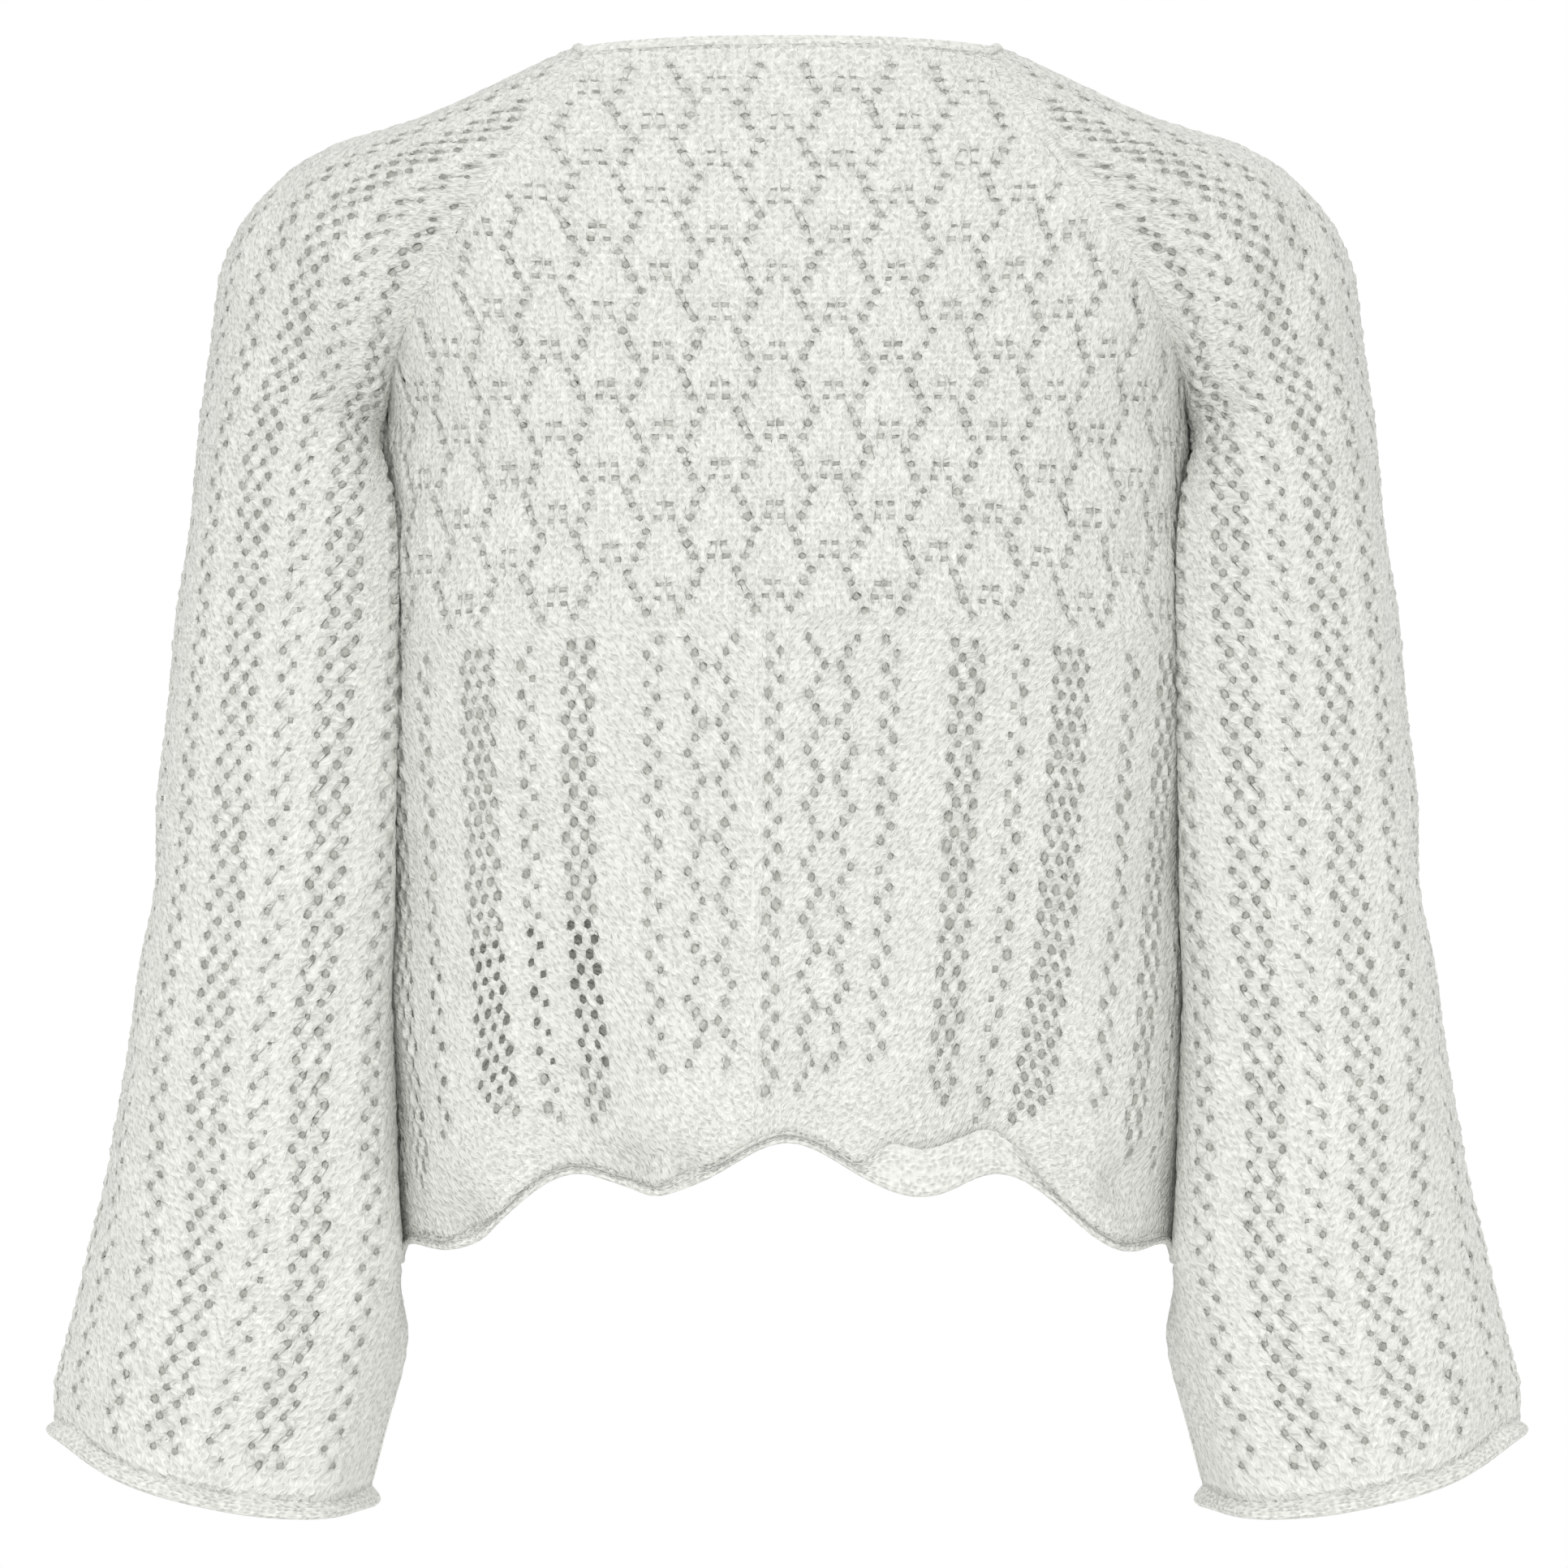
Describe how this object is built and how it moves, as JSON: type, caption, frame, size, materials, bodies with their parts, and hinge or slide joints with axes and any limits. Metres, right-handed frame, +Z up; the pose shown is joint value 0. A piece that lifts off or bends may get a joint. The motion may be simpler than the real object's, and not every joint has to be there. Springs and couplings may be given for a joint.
{
  "type": "pullover sweater",
  "caption": "Cropped raglan pullover in open-work knit, worn and hollow, with wide bell sleeves, a round neck and a scalloped hem.",
  "frame": {"origin": "inner face of the back neck at its middle, on the level of the neck edge, where the wearer's nape holds the garment", "axes": "+Z up, +X the wearer's right, +Y from the back of the garment to its front; the picture looks along +Y at the back"},
  "size_m": [0.6444, 0.24, 0.6418],
  "materials": {
    "back_knit": "off-white lace knit, matte and slightly fuzzy",
    "front_knit": "off-white lace knit, matte and slightly fuzzy",
    "sleeve_knit": "off-white lace knit, matte and slightly fuzzy",
    "neckband_knit": "off-white knitted edging, matte",
    "label_satin": "pale grey woven label, blank"
  },
  "bodies": {
    "root": {"back_panel": "back_knit", "front_panel": "front_knit", "sleeve_left": "sleeve_knit", "sleeve_right": "sleeve_knit", "neckband": "neckband_knit", "neck_label": "label_satin"}
  },
  "joints": []
}
